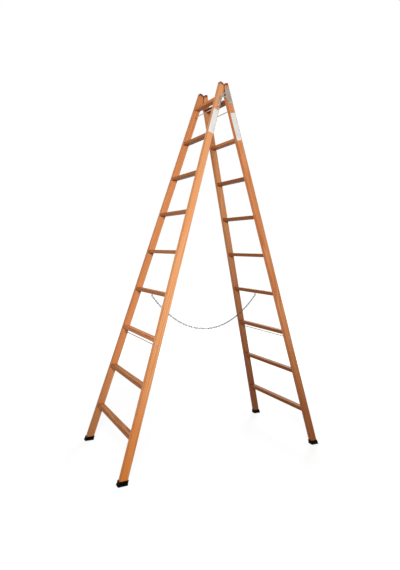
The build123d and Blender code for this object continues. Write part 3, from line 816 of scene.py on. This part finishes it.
joined = put(eye_tree, "GeometryNodeJoinGeometry")
for shape in (stem, swept):
    eye_tree.links.new(shape, joined.inputs[0])
set_on_points(eye_tree, given, result, joined.outputs[0])
print("eye recipe with", len(eye_tree.nodes), "nodes")

# %% [markdown]
# The first link turns on the lowest point of the ring, so the ring's middle lies above the start of the
# chain. Recipes build the ring lying flat: a quarter turn stands it up, and another sets it square to the
# chain.

# %% Screw eyes
UPRIGHT_TURN = (math.pi / 2, 0.0, math.pi / 2)
ring_middle = CHAIN_START + Vector((0, 0, EYE_RADIUS))
for section_name, section in SECTIONS.items():
    place = ring_middle if section == FRONT else Vector((-ring_middle.x, -ring_middle.y, ring_middle.z))
    name = f"{section_name}_chain_eye"
    make(f"{name}_wire", eye_tree, [(place, UPRIGHT_TURN, 0)], chain_steel, section_name, "chain_steel", name)

# %% [markdown]
# The hinge leaves are held by round-headed screws with a crossed slot. The recipe takes half of a
# flattened ball, cuts the cross out of it with two bars, and adds the shank. Each screw stands square on
# its leaf and is turned by chance, as a hand leaves it; the seed is fixed, so that the turn is the same
# in every run.

# %% Recipe: hinge screw
SCREW_HEAD, SCREW_RISE, SCREW_SHANK, SCREW_LENGTH = 0.010, 0.003, 0.0045, 0.016
LEAF_THICKNESS = 0.003
SCREW_SLOT, SLOT_SHARE, POINT_SHARE = 0.0012, 0.62, 0.5
HEAD_SEGMENTS, HEAD_RINGS, SHANK_STEPS = 24, 12, 12
BLOCK_WIDE, BLOCK_HIGH = 0.03, 0.01  # takes away the lower half of the ball
screw_tree, given, result = recipe(
    "hinge_screw", Head=SCREW_HEAD, Rise=SCREW_RISE, Shank=SCREW_SHANK, Length=SCREW_LENGTH, Slot=SCREW_SLOT,
)
half_head = reckon(screw_tree, "MULTIPLY", given["Head"], 0.5)
ball = put(screw_tree, "GeometryNodeMeshUVSphere", {
    "Segments": HEAD_SEGMENTS, "Rings": HEAD_RINGS, "Radius": 1.0,
}).outputs["Mesh"]
half_sizes = {"X": half_head, "Y": half_head, "Z": given["Rise"]}
flat = put(screw_tree, "ShaderNodeCombineXYZ", half_sizes).outputs[0]
ball = put(screw_tree, "GeometryNodeTransform", {"Geometry": ball, "Scale": flat}).outputs[0]
block_size = (BLOCK_WIDE, BLOCK_WIDE, BLOCK_HIGH)
block = put(screw_tree, "GeometryNodeMeshCube", {"Size": block_size}).outputs["Mesh"]
sunk = (0, 0, -BLOCK_HIGH / 2)
block = put(screw_tree, "GeometryNodeTransform", {"Geometry": block, "Translation": sunk}).outputs[0]
slot_long = reckon(screw_tree, "MULTIPLY", given["Head"], SLOT_SHARE)
high = put(screw_tree, "ShaderNodeCombineXYZ", {"Z": given["Rise"]}).outputs[0]
tools = [block]
for long, wide in ((slot_long, given["Slot"]), (given["Slot"], slot_long)):
    size = put(screw_tree, "ShaderNodeCombineXYZ", {"X": long, "Y": wide, "Z": given["Rise"]}).outputs[0]
    cutter = put(screw_tree, "GeometryNodeMeshCube", {"Size": size}).outputs["Mesh"]
    raised = put(screw_tree, "GeometryNodeTransform", {"Geometry": cutter, "Translation": high})
    tools.append(raised.outputs[0])
head = ball
for tool in tools:
    cut = put(screw_tree, "GeometryNodeMeshBoolean", operation="DIFFERENCE", solver="EXACT")
    screw_tree.links.new(head, cut.inputs[0])
    screw_tree.links.new(tool, cut.inputs[1])
    head = cut.outputs[0]
head = put(screw_tree, "GeometryNodeMergeByDistance", {"Geometry": head, "Distance": SAME_POINT}).outputs[0]
half_shank = reckon(screw_tree, "MULTIPLY", given["Shank"], 0.5)
point = reckon(screw_tree, "MULTIPLY", half_shank, POINT_SHARE)
stem = put(screw_tree, "GeometryNodeMeshCone", {
    "Vertices": SHANK_STEPS, "Radius Top": half_shank, "Radius Bottom": point, "Depth": given["Length"],
}).outputs["Mesh"]
below = reckon(screw_tree, "MULTIPLY", given["Length"], -1.0)
driven = put(screw_tree, "ShaderNodeCombineXYZ", {"Z": below}).outputs[0]
stem = put(screw_tree, "GeometryNodeTransform", {"Geometry": stem, "Translation": driven}).outputs[0]
joined = put(screw_tree, "GeometryNodeJoinGeometry")
for shape in (stem, head):
    screw_tree.links.new(shape, joined.inputs[0])
set_on_points(screw_tree, given, result, joined.outputs[0])
print("screw recipe with", len(screw_tree.nodes), "nodes")

# %% [markdown]
# The narrow strap on the front stile has three screws in a row, the wider plate on the rear stile has
# five. Each place is how far down the stile from the axis and how far out, the same on both sides of the
# ladder.

# %% Hinge screws
SEED = 7
chance = random.Random(SEED)
SCREW_FROM_EDGE = 0.009
STRAP_END, STRAP_MIDDLE, STRAP_PITCH = 0.098, 0.023, 0.017
PLATE_TOP, PLATE_END, PLATE_NEAR, PLATE_FAR = -0.050, 0.066, 0.013, 0.055
lowest = STRAP_END - SCREW_FROM_EDGE
top, end = PLATE_TOP + SCREW_FROM_EDGE, PLATE_END - SCREW_FROM_EDGE
near, far = PLATE_NEAR + SCREW_FROM_EDGE, PLATE_FAR - SCREW_FROM_EDGE
SCREW_PLACES = {
    "front": [(lowest - STRAP_PITCH * above, STRAP_MIDDLE) for above in (2, 1, 0)],
    "rear": [(top, near), (top, far), ((top + end) / 2, far), (end, near), (end, far)],
}
for section_name, section in SECTIONS.items():
    places = []
    for side in SIDES.values():
        down, out, outward = stile_axes(section, side)
        for along, away in SCREW_PLACES[section_name]:
            seat = on_outer_face(section, side, along, away)
            square = Matrix((down, outward.cross(down), outward)).transposed()
            turned = square @ Matrix.Rotation(chance.uniform(0, math.pi), 3, "Z")
            places.append((seat + outward * LEAF_THICKNESS, turned.to_euler(), 0))
    name = f"{section_name}_hinge_screws"
    make(f"{name}_crossed", screw_tree, places, hinge_steel, section_name, "hinge_steel", name,
         Length=SCREW_LENGTH + LEAF_THICKNESS)

# %% [markdown]
# Near the top, on the outer faces that the photograph shows, the real ladder has two long white stickers.
# Here they are thin plates with rounded corners that follow the splayed face. A flat picture on the wood
# would do for one view; a thin solid keeps its edge and its own gloss from all sides.

# %% White sticker finish
sticker_white, tree, shader, place = finish_of("sticker_white")
fleck = noise(tree, place, scale=220.0, detail=3.0, roughness=0.6)
dust = between(tree, noise(tree, place, scale=25.0, detail=3.0), low=0.45, high=0.8)
shade = blend_colours(tree, dust, colour("f0efec"), colour("e2dfda"))
tree.links.new(shade, shader.inputs["Base Color"])
dull = between(tree, fleck, low=0.2, high=0.8, to_low=0.32, to_high=0.5)
tree.links.new(dull, shader.inputs["Roughness"])
bump(tree, shader, fleck, depth=0.0001, strength=0.2)
print("sticker finish with", len(tree.nodes), "nodes")

# %% [markdown]
# The outline goes round the four corners, each a quarter circle about its own middle. It lies on the
# stile's face, and a second one, a sheet's thickness further out, closes the plate.

# %% White stickers
STICKER_THICKNESS, STICKER_ROUND, CORNER_STEPS = 0.0003, 0.004, 6
STICKERS = {"front": (0.129, 0.306), "rear": (0.130, 0.328)}
STICKER_INNER, STICKER_OUTER = 0.014, 0.055
for section_name, (top, bottom) in STICKERS.items():
    section = SECTIONS[section_name]
    outward = stile_axes(section, RIGHT)[2]
    low, high = bottom - STICKER_ROUND, top + STICKER_ROUND
    near, far = STICKER_INNER + STICKER_ROUND, STICKER_OUTER - STICKER_ROUND
    outline = []
    for quarter, (along, out) in enumerate(((low, far), (high, far), (high, near), (low, near))):
        for step in range(CORNER_STEPS + 1):
            angle = math.radians(90 * (quarter + step / CORNER_STEPS))
            outline.append((along + STICKER_ROUND * math.cos(angle), out + STICKER_ROUND * math.sin(angle)))
    sheet = bmesh.new()
    under = [sheet.verts.new(on_outer_face(section, RIGHT, *point)) for point in outline]
    over = [sheet.verts.new(vert.co + outward * STICKER_THICKNESS) for vert in under]
    sheet.faces.new(under)
    sheet.faces.new(over)
    for here, after in zip(range(len(outline)), [*range(1, len(outline)), 0]):
        sheet.faces.new((under[here], under[after], over[after], over[here]))
    bmesh.ops.recalc_face_normals(sheet, faces=sheet.faces)
    name = f"{section_name}_sticker"
    mesh = bpy.data.meshes.new(name)
    sheet.to_mesh(mesh)
    sheet.free()
    mesh.materials.append(sticker_white)
    sticker = bpy.data.objects.new(name, mesh)
    scene.collection.objects.link(sticker)
    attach(sticker, section_name)
    print(name, "is", round((bottom - top) * 1000), "mm long")

# %% [markdown]
# The photograph shows the ladder on pure white. The floor is plain and pale; towards the camera it glows,
# most of all far from the ladder, so that it meets the white background without a line and keeps the
# ladder's soft shadow.

# %% Floor
FLOOR_HALF = 40.0
FLOOR_GREY = (0.3, 0.3, 0.3, 1.0)
SHADOW_FADES_FROM, SHADOW_GONE, GLOW_NEAR, GLOW_FAR = 1.2, 2.6, 0.8, 1.0
floor_mesh = bpy.data.meshes.new("floor")
floor_corners = [Vector((x, y, 0.0)) * FLOOR_HALF for x, y in ((-1, -1), (1, -1), (1, 1), (-1, 1))]
floor_mesh.from_pydata(floor_corners, [], [(0, 1, 2, 3)])
floor = bpy.data.objects.new("floor", floor_mesh)
scene.collection.objects.link(floor)


def seen_straight(tree):
    """1 for rays from the camera, from gloss and through glass, and 0 for light that falls on things."""
    seen = put(tree, "ShaderNodeLightPath").outputs
    mirrored = reckon(tree, "MAXIMUM", seen["Is Glossy Ray"], seen["Is Transmission Ray"])
    return reckon(tree, "MAXIMUM", seen["Is Camera Ray"], mirrored)


floor_pale, tree, shader, place = finish_of("floor_pale")
shader.inputs["Base Color"].default_value = FLOOR_GREY
shader.inputs["Roughness"].default_value = 0.9
shader.inputs["Specular IOR Level"].default_value = 0.0
distance = put(tree, "ShaderNodeVectorMath", {0: place}, operation="LENGTH").outputs["Value"]
brightness = between(tree, distance, SHADOW_FADES_FROM, SHADOW_GONE, GLOW_NEAR, GLOW_FAR)
strength = reckon(tree, "MULTIPLY", seen_straight(tree), brightness)
glow = put(tree, "ShaderNodeEmission", {"Color": (1, 1, 1, 1), "Strength": strength}).outputs[0]
lit = put(tree, "ShaderNodeAddShader", {0: shader.outputs[0], 1: glow}).outputs[0]
tree.links.new(lit, tree.nodes["Material Output"].inputs["Surface"])
floor_mesh.materials.append(floor_pale)
print("floor of", round(2 * FLOOR_HALF), "m")

# %% [markdown]
# The light is that of a plain studio: an even pale surround, one soft lamp from the upper left of the
# camera, and one from behind on the right for the other sides. The first lamp's beam is a little narrowed
# and aimed at the middle of the near stile, so that the light fades towards the floor as it does in the
# photograph.

# %% Surround and lamps
world = bpy.data.worlds.new("surround")
world.use_nodes = True
scene.world = world
tree = world.node_tree
background = tree.nodes["Background"]
background.inputs["Color"].default_value = (1, 1, 1, 1)
SURROUND = 0.25
strength = reckon(tree, "MULTIPLY_ADD", seen_straight(tree), 1.0 - SURROUND, SURROUND)
tree.links.new(strength, background.inputs["Strength"])

LAMPS = {  # place, target, size, beam in degrees, power
    "key_lamp": ((-1.9, -2.8, 2.2), (-0.4, -0.2, 1.4), 1.3, 130.0, 53.0),
    "back_lamp": ((3.2, 2.8, 3.2), (0.0, 0.0, 1.3), 2.0, 180.0, 110.0),
}
for name, (spot, target, size, beam, power) in LAMPS.items():
    lamp = bpy.data.lights.new(name, "AREA")
    lamp.shape = "DISK"
    lamp.size, lamp.spread, lamp.energy = size, math.radians(beam), power
    holder = bpy.data.objects.new(name, lamp)
    holder.location = spot
    aim = Vector(target) - Vector(spot)
    holder.rotation_euler = aim.to_track_quat("-Z", "Y").to_euler()
    scene.collection.objects.link(holder)
scene.view_settings.view_transform = "Standard"
print("surround at", SURROUND, "and", len(LAMPS), "lamps")
